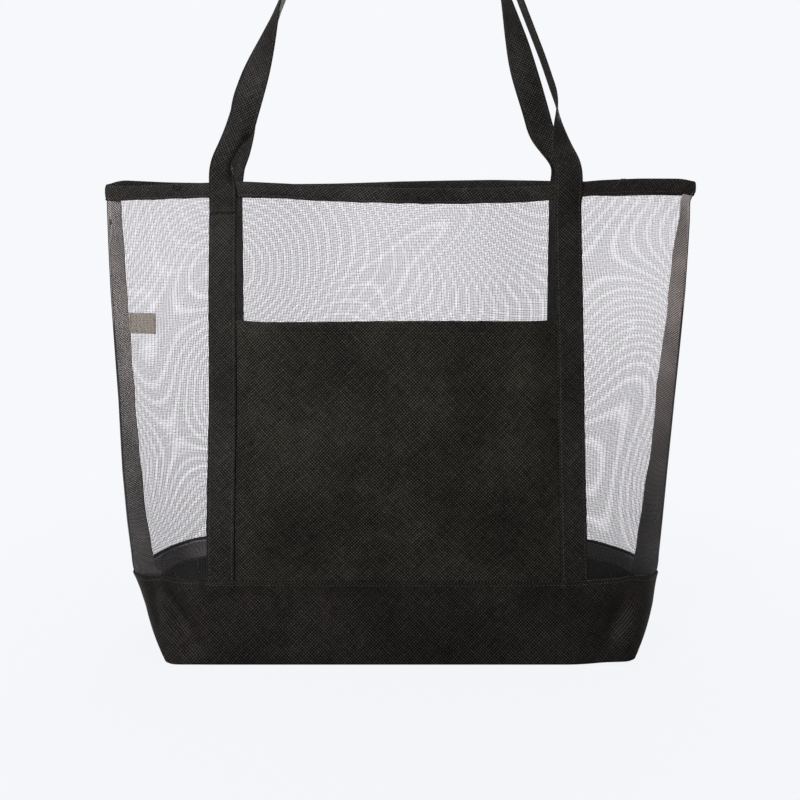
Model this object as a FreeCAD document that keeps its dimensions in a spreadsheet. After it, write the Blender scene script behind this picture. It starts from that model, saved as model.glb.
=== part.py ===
import FreeCAD, Part
import math
import os

# Open mesh beach tote: two see-through mesh panels on a boxed fabric base, a fabric rim binding,
# a front pocket, and two strap handles whose ends are sewn down both panels.
# Frame: millimetres, +Z up, front panel towards -Y, origin on the floor at the middle of the base.

doc = FreeCAD.newDocument("beach_bag")

# ---------------------------------------------------------------- driving dimensions
DIMENSIONS = [
    ("rim_height", 437.0, "floor to the cut edge of the mesh at the rim"),
    ("rim_half_width", 281.0, "half the mouth, side seam to side seam"),
    ("rim_half_depth", 36.0, "half the mouth, front to back, as it stands open"),
    ("base_half_length", 220.5, "half the length of the boxed base"),
    ("base_half_depth", 72.5, "half the depth of the boxed base"),
    ("band_height", 75.0, "floor to the band's top edge on the front and back"),
    ("band_half_width", 257.0, "half width at the band's top edge"),
    ("band_half_depth", 66.0, "half depth at the band's top edge"),
    ("band_side_drop", 15.0, "how much lower the band's top edge is at the side seams"),
    ("seam_drop_power", 8.0, "how late that drop starts on the way to the side seam"),
    ("base_squareness", 60.0, "section power at the floor, near a rectangle"),
    ("band_squareness", 6.0, "section power at the band's top edge"),
    ("rim_squareness", 2.0, "section power at the rim, a lens"),
    ("mesh_thickness", 0.6, "mesh"),
    ("fabric_thickness", 1.0, "woven polyester of the band and the pocket"),
    ("floor_thickness", 1.2, "woven polyester of the base, with its backing"),
    ("binding_height", 13.0, "rim binding, each leg"),
    ("binding_wall", 1.0, "rim binding, folded thickness of each leg"),
    ("strap_width", 26.0, "strap"),
    ("strap_thickness", 1.6, "strap, folded fabric"),
    ("strap_centre", 162.5, "middle of a strap from the bag's middle"),
    ("tack_height", 409.0, "floor to the row of stitches where a handle leaves its panel"),
    ("handle_top", 692.0, "floor to the top of a standing handle"),
    ("handle_lean_y", 16.0, "middle of a handle's top from the bag's middle plane"),
    ("handle_face_y", 30.6, "middle of a handle's thickness where it leaves the panel"),
    ("leg_slope", 18.7, "degrees that a handle's leg leans in above the rim"),
    ("leg_bend_radius", 60.0, "radius of the bend between the upright and the leaning leg"),
    ("leg_upright", 30.0, "upright stretch of a leg above the row of stitches"),
    ("leg_sway", 13.0, "how far the back handle's right leg bows in at its sway"),
    ("running_gap", 0.3, "gap between a moving piece and its neighbours"),
    ("pocket_top", 311.0, "floor to the pocket's hem"),
    ("pocket_slack", 11.0, "how far the pocket stands off the mesh in its middle"),
    ("pocket_flat", 118.0, "half width of the pocket's flat middle"),
    ("pocket_seam_gap", 0.1, "clearance of the pocket's sewn edges from the mesh"),
    ("side_tape_width", 16.0, "bound side seam, seam to free edge"),
    ("side_tape_thickness", 1.6, "bound side seam, folded"),
    ("band_tape_width", 20.0, "tape over the band's seam, inside"),
    ("tape_thickness", 0.8, "seam tape"),
    ("band_tape_half_length", 240.0, "half length of the tape over the band's seam"),
    ("corner_tape_width", 12.0, "tape over a boxed corner's seam"),
    ("corner_tape_half_length", 58.0, "half length of the tape over a boxed corner's seam"),
    ("corner_tape_inset", 8.0, "tape over a boxed corner's seam, edge from the base's end"),
    ("stitch_row_length", 22.0, "row of stitches across a strap"),
    ("stitch_row_width", 1.0, "row of stitches across a strap, height on the strap"),
    ("stitch_row_below", 2.0, "row of stitches below the end of the sewn strap"),
    ("thread_thickness", 0.4, "sewing thread standing proud"),
    ("bar_tack_centre", 209.0, "bar tacks on the rim from the bag's middle"),
    ("bar_tack_length", 5.0, "bar tack on the rim"),
    ("label_width", 25.0, "care label, sewn edge to free edge"),
    ("label_height", 17.5, "care label"),
    ("label_thickness", 0.5, "care label"),
    ("label_low", 295.0, "floor to the care label's lower edge"),
    ("label_seam_x", 255.3, "care label's sewn edge from the bag's middle"),
    ("reach", 800.0, "size of the blocks that trim pieces"),
]

sheet = doc.addObject("Spreadsheet::Sheet", "Sizes")
sheet.set("A1", "dimension, mm or degrees")
for number, (alias, value, words) in enumerate(DIMENSIONS, start=2):
    sheet.set(f"A{number}", words)
    sheet.set(f"B{number}", str(value))
    sheet.setAlias(f"B{number}", alias)
doc.recompute()


def size(alias):
    """A driving dimension, read from the sheet."""
    return float(sheet.get(alias))


# ---------------------------------------------------------------- the bag's surface
SECTION_HEIGHTS = [0.0, 12.0, 26.0, 42.0, 60.0, 80.0, 110.0, 160.0, 220.0, 290.0, 360.0]
POINTS_ACROSS = 29
FINE_STEPS = 1200
SIDE_PROFILE_POWER = 1.3
SQUARENESS_POWER = 1.2


def section_sizes(height):
    """Half width, half depth and squareness of the bag's section at a height."""
    band = size("band_height")
    rim = size("rim_height")
    if height < band:
        share = max(height, 0.0) / band
        bulge = math.sin(0.5 * math.pi * share)
        half_width = size("base_half_length") + (size("band_half_width") - size("base_half_length")) * bulge
        half_depth = size("base_half_depth") + (size("band_half_depth") - size("base_half_depth")) * share
        ratio = size("band_squareness") / size("base_squareness")
        return half_width, half_depth, size("base_squareness") * ratio**share
    left = max((rim - height) / (rim - band), 0.0)
    narrowing = left**SIDE_PROFILE_POWER
    half_width = size("rim_half_width") - (size("rim_half_width") - size("band_half_width")) * narrowing
    half_depth = size("rim_half_depth") + (size("band_half_depth") - size("rim_half_depth")) * left
    gain = (size("band_squareness") - size("rim_squareness")) * left**SQUARENESS_POWER
    return half_width, half_depth, size("rim_squareness") + gain


def depth_at(x, height, offset=0.0):
    """How far the bag's surface is from its middle plane, with the surface moved out by offset."""
    half_width, half_depth, squareness = section_sizes(height)
    share = min(abs(x) / (half_width + offset), 1.0)
    return (half_depth + offset) * (1.0 - share**squareness)


def half_section(height, offset, side):
    """Points along one side of the section, evenly spaced along the cloth."""
    half_width, half_depth, squareness = section_sizes(height)
    fine = []
    for step in range(FINE_STEPS + 1):
        share = math.sin(math.pi * (step / FINE_STEPS - 0.5))
        depth = (half_depth + offset) * (1.0 - abs(share) ** squareness)
        fine.append(FreeCAD.Vector(share * (half_width + offset), side * depth, height))
    run = [0.0]
    for first, second in zip(fine, fine[1:]):
        run.append(run[-1] + (second - first).Length)
    points = [fine[0]]
    place = 0
    for step in range(1, POINTS_ACROSS - 1):
        target = run[-1] * step / (POINTS_ACROSS - 1)
        while run[place] < target:
            place += 1
        points.append(fine[place])
    points.append(fine[-1])
    return points


def ease(share):
    """0 to 1 with level ends."""
    share = min(max(share, 0.0), 1.0)
    return share * share * (3.0 - 2.0 * share)


def curve_through(points):
    """A smooth edge through points, with even parameters, so that stacked edges match."""
    curve = Part.BSplineCurve()
    last = len(points) - 1
    curve.interpolate(Points=points, Parameters=[number / last for number in range(last + 1)])
    return curve.toShape()


def add_shape(name, shape):
    """A document object that holds a shape worked out from the sheet."""
    feature = doc.addObject("Part::Feature", name)
    feature.Shape = shape
    return feature


lofts = {}


def bag_solid(offset):
    """The space inside the bag's surface moved out by offset, from the floor to above the rim."""
    if offset in lofts:
        return lofts[offset]
    label = f"level_{len(lofts)}"
    sections = []
    for number, height in enumerate(SECTION_HEIGHTS + [size("rim_height") + 1.0]):
        front = curve_through(half_section(height, offset, -1))
        back = curve_through(half_section(height, offset, 1))
        sections.append(add_shape(f"{label}_section_{number}", Part.Wire([front, back])))
    loft = doc.addObject("Part::Loft", label)
    loft.Sections = sections
    loft.Solid = True
    loft.Ruled = True
    lofts[offset] = loft
    return loft


def layer(name, inner, outer):
    """A skin of the bag between two offsets of its surface."""
    skin = doc.addObject("Part::Cut", name)
    skin.Base = bag_solid(outer)
    skin.Tool = bag_solid(inner)
    return skin


def block(name, low, high):
    """A box between two corners, each given as three expressions on the sheet."""
    box = doc.addObject("Part::Box", name)
    for side, axis, start, end in zip(("Length", "Width", "Height"), "xyz", low, high):
        box.setExpression(side, f"({end}) - ({start})")
        box.setExpression(f"Placement.Base.{axis}", f"{start}")
    return box


def common(name, first, second):
    result = doc.addObject("Part::Common", name)
    result.Base = first
    result.Tool = second
    return result


def cut(name, base, tool):
    result = doc.addObject("Part::Cut", name)
    result.Base = base
    result.Tool = tool
    return result


def fuse(name, shapes):
    result = doc.addObject("Part::MultiFuse", name)
    result.Shapes = shapes
    return result


nodes = {}


def keep(label, piece):
    """Marks a finished piece: its label is the name of its file."""
    piece.Label = label
    nodes[label] = piece
    return piece


HALVES = {"front": ("-Sizes.reach", "0"), "back": ("0", "Sizes.reach")}
SIDES = {"left": -1, "right": 1}

# ---------------------------------------------------------------- the band's top edge
# The edge is level across the front and back and drops towards the side seams.
EDGE_POINTS = 17


def band_edge_height(x):
    share = min(abs(x) / size("band_half_width"), 1.1)
    return size("band_height") - size("band_side_drop") * share ** size("seam_drop_power")


def band_region():
    """Everything below the band's top edge."""
    reach = size("band_half_width") * 1.08
    step = 2.0 * reach / (EDGE_POINTS - 1)
    edge_x = [-reach + step * number for number in range(EDGE_POINTS)]
    edge = curve_through([FreeCAD.Vector(x, 0, band_edge_height(x)) for x in edge_x])
    low = -size("band_height")
    corners = [
        FreeCAD.Vector(reach, 0, band_edge_height(reach)),
        FreeCAD.Vector(reach, 0, low),
        FreeCAD.Vector(-reach, 0, low),
        FreeCAD.Vector(-reach, 0, band_edge_height(reach)),
    ]
    outline = Part.Wire([edge] + Part.makePolygon(corners).Edges)
    profile = add_shape("band_profile", Part.Face(outline))
    region = doc.addObject("Part::Extrusion", "band_region")
    region.Base = profile
    region.DirMode = "Custom"
    region.Dir = FreeCAD.Vector(0, 1, 0)
    region.Symmetric = True
    region.Solid = True
    region.setExpression("LengthFwd", "Sizes.reach")
    return region


below_band = band_region()

# ---------------------------------------------------------------- mesh panels
mesh_skin = layer("mesh_skin", 0.0, size("mesh_thickness"))
open_mesh = cut("open_mesh", mesh_skin, below_band)


def half_block(name, half, low_z, high_z):
    """A block over the front or back half of the bag between two heights."""
    start, end = HALVES[half]
    return block(name, ("-Sizes.reach", start, low_z), ("Sizes.reach", end, high_z))


for half in HALVES:
    trim = half_block(f"{half}_mesh_trim", half, "0", "Sizes.rim_height")
    keep(f"{half}_mesh_panel", common(f"{half}_mesh", open_mesh, trim))

# ---------------------------------------------------------------- base wrap
# One fabric piece: front band, floor and back band, with boxed corners.
wrap_outer = bag_solid(size("fabric_thickness"))
wrap_room = common(
    "wrap_room",
    bag_solid(0.0),
    block(
        "above_floor",
        ("-Sizes.reach", "-Sizes.reach", "Sizes.floor_thickness"),
        ("Sizes.reach", "Sizes.reach", "Sizes.reach"),
    ),
)
wrap_shell = cut("wrap_shell", wrap_outer, wrap_room)
keep("base_wrap", common("wrap", wrap_shell, below_band))

# ---------------------------------------------------------------- rim binding
binding_outer = size("mesh_thickness") + size("binding_wall")
binding_skin = layer("binding_skin", -size("binding_wall"), binding_outer)
for half in HALVES:
    trim = half_block(
        f"{half}_binding_trim",
        half,
        "Sizes.rim_height - Sizes.binding_height",
        "Sizes.rim_height + Sizes.binding_wall",
    )
    tube = common(f"{half}_binding_tube", binding_skin, trim)
    keep(f"{half}_rim_binding", cut(f"{half}_binding", tube, nodes[f"{half}_mesh_panel"]))

# ---------------------------------------------------------------- sewn straps and their stitches
strap_inner = size("mesh_thickness")
strap_outer = strap_inner + size("strap_thickness")
strap_skin = layer("strap_skin", strap_inner, strap_outer)
stitch_skin = layer("stitch_skin", strap_outer, strap_outer + size("thread_thickness"))
sewn_straps = cut("sewn_straps", strap_skin, below_band)
stitch_rows = []
for half, (start, end) in HALVES.items():
    for side, sign in SIDES.items():
        middle = f"{sign} * Sizes.strap_centre"
        trim = block(
            f"{half}_{side}_strap_trim",
            (f"{middle} - Sizes.strap_width / 2", start, "0"),
            (f"{middle} + Sizes.strap_width / 2", end, "Sizes.tack_height - Sizes.running_gap"),
        )
        keep(f"{half}_{side}_strap", common(f"{half}_{side}_sewn", sewn_straps, trim))
        row_top = "Sizes.tack_height - Sizes.stitch_row_below"
        row = block(
            f"{half}_{side}_row_trim",
            (f"{middle} - Sizes.stitch_row_length / 2", start, f"{row_top} - Sizes.stitch_row_width"),
            (f"{middle} + Sizes.stitch_row_length / 2", end, row_top),
        )
        stitch_rows.append(common(f"{half}_{side}_row", stitch_skin, row))
keep("strap_tack_stitches", fuse("tack_stitches", stitch_rows))

# Bar tacks on the front binding's top edge, one near each side.
tack_depth = depth_at(size("bar_tack_centre"), size("rim_height"))
sheet.set("A100", "bag's surface from the middle plane at a bar tack")
sheet.set("B100", str(round(tack_depth, 3)))
sheet.setAlias("B100", "bar_tack_depth")
doc.recompute()
bar_tacks = []
for side, sign in SIDES.items():
    middle = f"{sign} * Sizes.bar_tack_centre"
    top = "Sizes.rim_height + Sizes.binding_wall"
    bar_tacks.append(
        block(
            f"{side}_bar_tack",
            (f"{middle} - Sizes.bar_tack_length / 2", "-Sizes.bar_tack_depth - Sizes.mesh_thickness", top),
            (
                f"{middle} + Sizes.bar_tack_length / 2",
                "-Sizes.bar_tack_depth + Sizes.binding_wall",
                f"{top} + 2 * Sizes.thread_thickness",
            ),
        )
    )
keep("rim_bar_tacks", fuse("bar_tacks", bar_tacks))

# ---------------------------------------------------------------- front pocket
POCKET_HEIGHTS = 9
POCKET_POINTS = 25
POCKET_RISE = 90.0
POCKET_BELOW = 12.0


def pocket_standoff(x, height):
    """Distance of the pocket's inner face from the bag's surface."""
    edge = size("strap_centre") - size("strap_width") / 2
    across = ease((edge - abs(x)) / (edge - size("pocket_flat")))
    up = ease((height - size("band_height")) / POCKET_RISE)
    sewn = size("mesh_thickness") + size("pocket_seam_gap")
    return sewn + size("pocket_slack") * across * up


def pocket_section(height):
    edge = size("strap_centre") - size("strap_width") / 2
    step = 2.0 * edge / (POCKET_POINTS - 1)
    inner = []
    outer = []
    for number in range(POCKET_POINTS):
        x = -edge + step * number
        depth = depth_at(x, height) + pocket_standoff(x, height)
        inner.append(FreeCAD.Vector(x, -depth, height))
        outer.append(FreeCAD.Vector(x, -depth - size("fabric_thickness"), height))
    ends = [Part.makeLine(inner[-1], outer[-1]), Part.makeLine(outer[0], inner[0])]
    return Part.Wire([curve_through(inner), ends[0], curve_through(outer[::-1]), ends[1]])


pocket_low = size("band_height") - POCKET_BELOW
pocket_step = (size("pocket_top") - pocket_low) / (POCKET_HEIGHTS - 1)
pocket_sections = []
for number in range(POCKET_HEIGHTS):
    wire = pocket_section(pocket_low + pocket_step * number)
    pocket_sections.append(add_shape(f"pocket_section_{number}", wire))
pocket_loft = doc.addObject("Part::Loft", "pocket_loft")
pocket_loft.Sections = pocket_sections
pocket_loft.Solid = True
pocket_loft.Ruled = True
keep("front_pocket", cut("pocket", pocket_loft, below_band))

# ---------------------------------------------------------------- seam tapes inside
side_tape_skin = layer("side_tape_skin", -size("side_tape_width"), 0.0)
for side, sign in SIDES.items():
    start, end = ("-Sizes.reach", "0") if sign < 0 else ("0", "Sizes.reach")
    trim = block(
        f"{side}_side_tape_trim",
        (start, "-Sizes.side_tape_thickness / 2", "Sizes.band_height - Sizes.band_side_drop"),
        (end, "Sizes.side_tape_thickness / 2", "Sizes.rim_height - Sizes.binding_height"),
    )
    keep(f"{side}_side_seam_tape", common(f"{side}_side_tape", side_tape_skin, trim))

band_tape_skin = layer("band_tape_skin", -size("tape_thickness"), 0.0)
band_tapes = common("band_tapes", band_tape_skin, below_band)
for half, (start, end) in HALVES.items():
    trim = block(
        f"{half}_band_tape_trim",
        ("-Sizes.band_tape_half_length", start, "Sizes.band_height - Sizes.band_tape_width"),
        ("Sizes.band_tape_half_length", end, "Sizes.band_height"),
    )
    keep(f"{half}_band_seam_tape", common(f"{half}_band_tape", band_tapes, trim))

for side, sign in SIDES.items():
    outer_x = f"{sign} * (Sizes.base_half_length - Sizes.corner_tape_inset)"
    inner_x = f"{sign} * (Sizes.base_half_length - Sizes.corner_tape_inset - Sizes.corner_tape_width)"
    low_x, high_x = (outer_x, inner_x) if sign < 0 else (inner_x, outer_x)
    tape = block(
        f"{side}_corner_tape",
        (low_x, "-Sizes.corner_tape_half_length", "Sizes.floor_thickness"),
        (high_x, "Sizes.corner_tape_half_length", "Sizes.floor_thickness + Sizes.tape_thickness"),
    )
    keep(f"{side}_corner_seam_tape", tape)

# ---------------------------------------------------------------- care label
label = block(
    "label",
    ("-Sizes.label_seam_x", "-Sizes.label_thickness / 2", "Sizes.label_low"),
    (
        "-Sizes.label_seam_x + Sizes.label_width",
        "Sizes.label_thickness / 2",
        "Sizes.label_low + Sizes.label_height",
    ),
)
keep("care_label", label)

# ---------------------------------------------------------------- handles
# A handle is the loop of a strap above its rows of stitches. Each leg stands upright past the rim,
# leans in, and turns a quarter about its own length, so that the top bends across its thin way.
# A turn is given by the shares of the leg's length where it starts and ends.
# The back handle's right leg also bows in over the first part of its length.
LEG_STEPS = 24
SWAYING_LEG = ("back", "right")
SWAY_END = 0.62
QUARTER_TURNS = {
    "front": {"left": (0.26, 0.66), "right": (0.05, 0.34)},
    "back": {"left": (0.20, 0.60), "right": (0.28, 0.70)},
}


def leg_lengths():
    """The four stretches of a leg, foot to top, and the radius of the top arc."""
    lean = math.radians(size("leg_slope"))
    bend = size("leg_bend_radius")
    upright = size("leg_upright")
    rise = size("handle_top") - size("strap_thickness") / 2 - size("tack_height") - size("running_gap")
    slope = math.tan(lean)
    left_rise = rise - upright - bend * math.sin(lean)
    left_reach = size("strap_centre") - bend * (1.0 - math.cos(lean))
    radius = (left_reach - left_rise * slope) / (math.cos(lean) - (1.0 - math.sin(lean)) * slope)
    straight = (left_rise - radius * (1.0 - math.sin(lean))) / math.cos(lean)
    return [upright, bend * lean, straight, radius * (math.pi / 2 - lean)], radius


def leg_line(share):
    """How far in and up a place on a leg is from its foot, and its lean in radians."""
    lengths, radius = leg_lengths()
    bend = size("leg_bend_radius")
    run = share * sum(lengths)
    inward, up, lean = 0.0, min(run, lengths[0]), 0.0
    run = max(run - lengths[0], 0.0)
    lean = min(run, lengths[1]) / bend
    inward += bend * (1.0 - math.cos(lean))
    up += bend * math.sin(lean)
    run = max(run - lengths[1], 0.0)
    inward += min(run, lengths[2]) * math.sin(lean)
    up += min(run, lengths[2]) * math.cos(lean)
    turned = lean + max(run - lengths[2], 0.0) / radius
    inward += radius * (math.cos(lean) - math.cos(turned))
    up += radius * (math.sin(turned) - math.sin(lean))
    return inward, up, turned


def strap_section(half, side, share):
    """The strap's rectangular section at a place along a leg."""
    inward, up, lean = leg_line(share)
    across_sign = SIDES[side]
    face = -1 if half == "front" else 1
    drift = (size("handle_lean_y") - size("handle_face_y")) * ease(share)
    if (half, side) == SWAYING_LEG:
        inward += size("leg_sway") * math.sin(math.pi * min(share / SWAY_END, 1.0)) ** 2
    centre = FreeCAD.Vector(
        across_sign * (size("strap_centre") - inward),
        face * (size("handle_face_y") + drift),
        size("tack_height") + size("running_gap") + up,
    )
    tangent = FreeCAD.Vector(math.sin(lean), 0, -across_sign * math.cos(lean))
    flat = FreeCAD.Vector(math.cos(lean), 0, across_sign * math.sin(lean))
    start, end = QUARTER_TURNS[half][side]
    quarter = 0.5 * math.pi * ease((share - start) / (end - start))
    width = flat * (-across_sign * math.cos(quarter)) + FreeCAD.Vector(0, face * math.sin(quarter), 0)
    normal = tangent.cross(width)
    wide = width * (size("strap_width") / 2)
    thick = normal * (size("strap_thickness") / 2)
    corners = [centre - wide - thick, centre + wide - thick, centre + wide + thick, centre - wide + thick]
    return Part.makePolygon(corners + corners[:1])


for half in HALVES:
    sections = [strap_section(half, "left", step / LEG_STEPS) for step in range(LEG_STEPS + 1)]
    sections += [strap_section(half, "right", step / LEG_STEPS) for step in range(LEG_STEPS - 1, -1, -1)]
    keep(f"{half}_handle", add_shape(f"{half}_handle_loop", Part.makeLoft(sections, True, False)))

# ---------------------------------------------------------------- check and write
doc.recompute()
print("radius of the handle's top", round(leg_lengths()[1], 1), "length", round(2 * sum(leg_lengths()[0]), 1))
for item in doc.Objects:
    if "Invalid" in item.State or "Error" in item.State:
        raise RuntimeError(f"{item.Name} failed: {item.State}")
os.makedirs("parts", exist_ok=True)
for label, piece in nodes.items():
    shape = piece.Shape
    if shape.isNull() or not shape.isValid() or not shape.Solids:
        raise RuntimeError(f"{label} is not a valid solid")
    if shape.ShapeType == "Compound" and len(shape.Solids) == 1:
        shape = shape.Solids[0]
    shape.exportStep(f"parts/{label}.step")
    box = shape.BoundBox
    print(
        f"{label}: {len(shape.Solids)} solid(s), {shape.Volume:.0f} mm3,",
        f"x {box.XMin:.1f}..{box.XMax:.1f} y {box.YMin:.1f}..{box.YMax:.1f} z {box.ZMin:.1f}..{box.ZMax:.1f}",
    )
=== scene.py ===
import math

import bmesh
import bpy
import numpy as np
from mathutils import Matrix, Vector
from mathutils.bvhtree import BVHTree


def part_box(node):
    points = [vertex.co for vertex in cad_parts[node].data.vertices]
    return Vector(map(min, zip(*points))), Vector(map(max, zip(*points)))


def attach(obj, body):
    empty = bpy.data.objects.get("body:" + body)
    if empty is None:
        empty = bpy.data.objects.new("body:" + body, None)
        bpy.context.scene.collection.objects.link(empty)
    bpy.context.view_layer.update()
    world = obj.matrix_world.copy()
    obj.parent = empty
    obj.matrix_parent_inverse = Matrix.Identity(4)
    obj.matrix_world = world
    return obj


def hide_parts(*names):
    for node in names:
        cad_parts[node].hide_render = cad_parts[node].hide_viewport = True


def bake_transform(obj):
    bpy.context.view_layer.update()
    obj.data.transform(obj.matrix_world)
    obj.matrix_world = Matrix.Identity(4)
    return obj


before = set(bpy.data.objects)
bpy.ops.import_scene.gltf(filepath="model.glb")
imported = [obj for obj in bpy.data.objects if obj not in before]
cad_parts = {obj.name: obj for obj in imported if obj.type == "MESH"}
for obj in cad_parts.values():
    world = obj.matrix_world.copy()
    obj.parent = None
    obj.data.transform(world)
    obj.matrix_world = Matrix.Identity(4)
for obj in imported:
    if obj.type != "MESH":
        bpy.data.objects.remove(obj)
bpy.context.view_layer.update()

# Looks of an open mesh beach tote. Metres, +Z up, the front panel faces -Y.
# The bag's surface has the part's own section formula; warp() then adds what cloth does.

MM = 0.001
SEED = 11

# ---------------------------------------------------------------- sizes, as the part has them
RIM_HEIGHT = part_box("front_mesh_panel")[1].z
RIM_HALF_WIDTH = 281 * MM
RIM_HALF_DEPTH = 36 * MM
BAND_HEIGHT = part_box("front_left_strap")[0].z
BAND_HALF_WIDTH = 257 * MM
BAND_HALF_DEPTH = 66 * MM
BAND_SIDE_DROP = 15 * MM
SEAM_DROP_POWER = 8
BASE_HALF_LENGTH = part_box("right_corner_seam_tape")[1].x + 8 * MM
BASE_HALF_DEPTH = 74.5 * MM
SQUARENESS = {"base": 60.0, "band": 6.0, "rim": 2.0}
MESH = 0.2 * MM
FABRIC = 1.0 * MM
STRAP_HALF = 13 * MM
STRAP_THICK = 1.6 * MM
STRAP_CENTRE = 162.5 * MM
TACK_HEIGHT = 409 * MM
POCKET_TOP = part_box("front_pocket")[1].z
POCKET_HALF = 149.5 * MM
HANDLE_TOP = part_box("front_handle")[1].z
BINDING_HEIGHT = 13 * MM
FRONT, BACK = -1, 1


def ease(share):
    """0 to 1 with level ends."""
    share = np.clip(share, 0.0, 1.0)
    return share * share * (3.0 - 2.0 * share)


def bump(value, centre, spread):
    """A smooth hill of height 1."""
    return np.exp(-(((value - centre) / spread) ** 2))


def through(value, places, heights, soften=5 * MM):
    """A line through points, with its corners softened."""
    steps = np.linspace(-1, 1, 5) * soften
    return sum(np.interp(value + step, places, heights) for step in steps) / len(steps)


def section(height):
    """Half width, half depth and squareness of the bag's section."""
    height = np.asarray(height, float)
    share = np.clip(height / BAND_HEIGHT, 0.0, 1.0)
    low_width = BASE_HALF_LENGTH + (BAND_HALF_WIDTH - BASE_HALF_LENGTH) * np.sin(0.5 * np.pi * share)
    low_depth = BASE_HALF_DEPTH + (BAND_HALF_DEPTH - BASE_HALF_DEPTH) * share
    low_power = SQUARENESS["base"] * (SQUARENESS["band"] / SQUARENESS["base"]) ** share
    left = np.clip((RIM_HEIGHT - height) / (RIM_HEIGHT - BAND_HEIGHT), 0.0, 1.0)
    width = RIM_HALF_WIDTH - (RIM_HALF_WIDTH - BAND_HALF_WIDTH) * left**1.3
    depth = RIM_HALF_DEPTH + (BAND_HALF_DEPTH - RIM_HALF_DEPTH) * left
    power = SQUARENESS["rim"] + (SQUARENESS["band"] - SQUARENESS["rim"]) * left**1.2
    low = height < BAND_HEIGHT
    return np.where(low, low_width, width), np.where(low, low_depth, depth), np.where(low, low_power, power)


def depth_at(x, height, offset=0.0):
    """The surface's distance from the bag's middle plane, moved out by offset."""
    width, depth, power = section(height)
    share = np.clip(np.abs(x) / (width + offset), 0.0, 1.0)
    return (depth + offset) * (1.0 - share**power)


# Sections with places evenly spaced along the cloth: rows are heights, columns run seam to seam.
LEVELS = np.linspace(0.0, RIM_HEIGHT + 4 * MM, 150)
PLACES = np.linspace(-1.0, 1.0, 401)


def even_sections():
    table_x = np.zeros((len(LEVELS), len(PLACES)))
    half_length = np.zeros(len(LEVELS))
    fine = np.sin(0.5 * np.pi * np.linspace(-1.0, 1.0, 4001))
    for row, level in enumerate(LEVELS):
        width = float(section(level)[0])
        x = fine * width
        y = depth_at(x, level)
        run = np.concatenate([[0.0], np.cumsum(np.hypot(np.diff(x), np.diff(y)))])
        table_x[row] = np.interp(PLACES, run / run[-1] * 2.0 - 1.0, fine)
        half_length[row] = run[-1] / 2
    return table_x, half_length


SHARE_TABLE, HALF_LENGTHS = even_sections()


def even_place(place, height):
    """Share of the half width at a place along the section, -1 to 1, and its run from the middle."""
    row = np.clip(height, 0.0, LEVELS[-1] - 1e-6) / (LEVELS[1] - LEVELS[0])
    column = (np.clip(place, -1.0, 1.0) + 1.0) / (PLACES[1] - PLACES[0])
    row_0 = np.clip(np.floor(row).astype(int), 0, len(LEVELS) - 2)
    column_0 = np.clip(np.floor(column).astype(int), 0, len(PLACES) - 2)
    fr, fc = row - row_0, column - column_0
    share = (
        SHARE_TABLE[row_0, column_0] * (1 - fr) * (1 - fc)
        + SHARE_TABLE[row_0 + 1, column_0] * fr * (1 - fc)
        + SHARE_TABLE[row_0, column_0 + 1] * (1 - fr) * fc
        + SHARE_TABLE[row_0 + 1, column_0 + 1] * fr * fc
    )
    return share, place * np.interp(height, LEVELS, HALF_LENGTHS)


# ---------------------------------------------------------------- what cloth does to the surface
def mm(*values):
    return np.array(values) * MM


# How far the rim stands above or below its own height, along x.
WAVE_X = mm(-284, -268, -225, -181, -143, -101, -64, 0, 46, 92, 134, 165, 186, 225, 268, 284)
WAVES = {
    FRONT: mm(-2.5, -3.0, -2.0, -0.8, 0.0, -2.2, -4.6, -6.4, -6.9, -6.0, -4.0, -0.5, 1.6, 3.6, 4.0, 1.0),
    BACK: mm(-2.5, 2.8, 1.2, 0.8, 0.6, 0.6, 1.2, 3.4, 4.2, 4.6, 3.6, 2.6, 2.4, 2.4, 2.6, 1.0),
}
# How far the side edges stand to the right of their own line, up z.
LEAN_Z = mm(0, 40, 60, 110, 160, 230, 336, 400, 419, 428)
LEAN_LEFT = mm(-1.5, -1.8, -5.4, -6.5, -6.0, -3.0, -1.3, 0.6, 1.1, 1.6)
LEAN_RIGHT = mm(1.8, -0.4, -3.6, -3.7, -4.0, -3.8, -2.6, -3.2, -4.0, -0.8)
# Creases where the front turns to the side: start, end, depth and half width, as the bag stands.
CREASES = {
    FRONT: [
        ((-0.219, 0.066), (-0.188, 0.020), 11.0 * MM, 11 * MM),
        ((0.217, 0.066), (0.184, 0.016), 10.5 * MM, 11 * MM),
        ((-0.130, 0.060), (-0.050, 0.046), 0.8 * MM, 14 * MM),
        ((0.060, 0.030), (0.140, 0.044), 0.8 * MM, 14 * MM),
    ],
    BACK: [
        ((-0.219, 0.066), (-0.190, 0.024), 4.0 * MM, 10 * MM),
        ((0.220, 0.069), (0.187, 0.018), 5.0 * MM, 10 * MM),
        ((-0.060, 0.040), (0.060, 0.052), 0.8 * MM, 14 * MM),
    ],
}


def crease_depth(x, z, side):
    total = np.zeros_like(x)
    for start, end, deep, spread in CREASES[side]:
        ax, az = start
        dx, dz = end[0] - ax, end[1] - az
        along = np.clip(((x - ax) * dx + (z - az) * dz) / (dx * dx + dz * dz), 0.0, 1.0)
        away = np.hypot(x - ax - along * dx, z - az - along * dz)
        share = 0.35 + 0.65 * np.sin(np.pi * np.clip(along, 0.08, 0.92))
        total += deep * bump(away, 0.0, spread) * share
    return total


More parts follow.
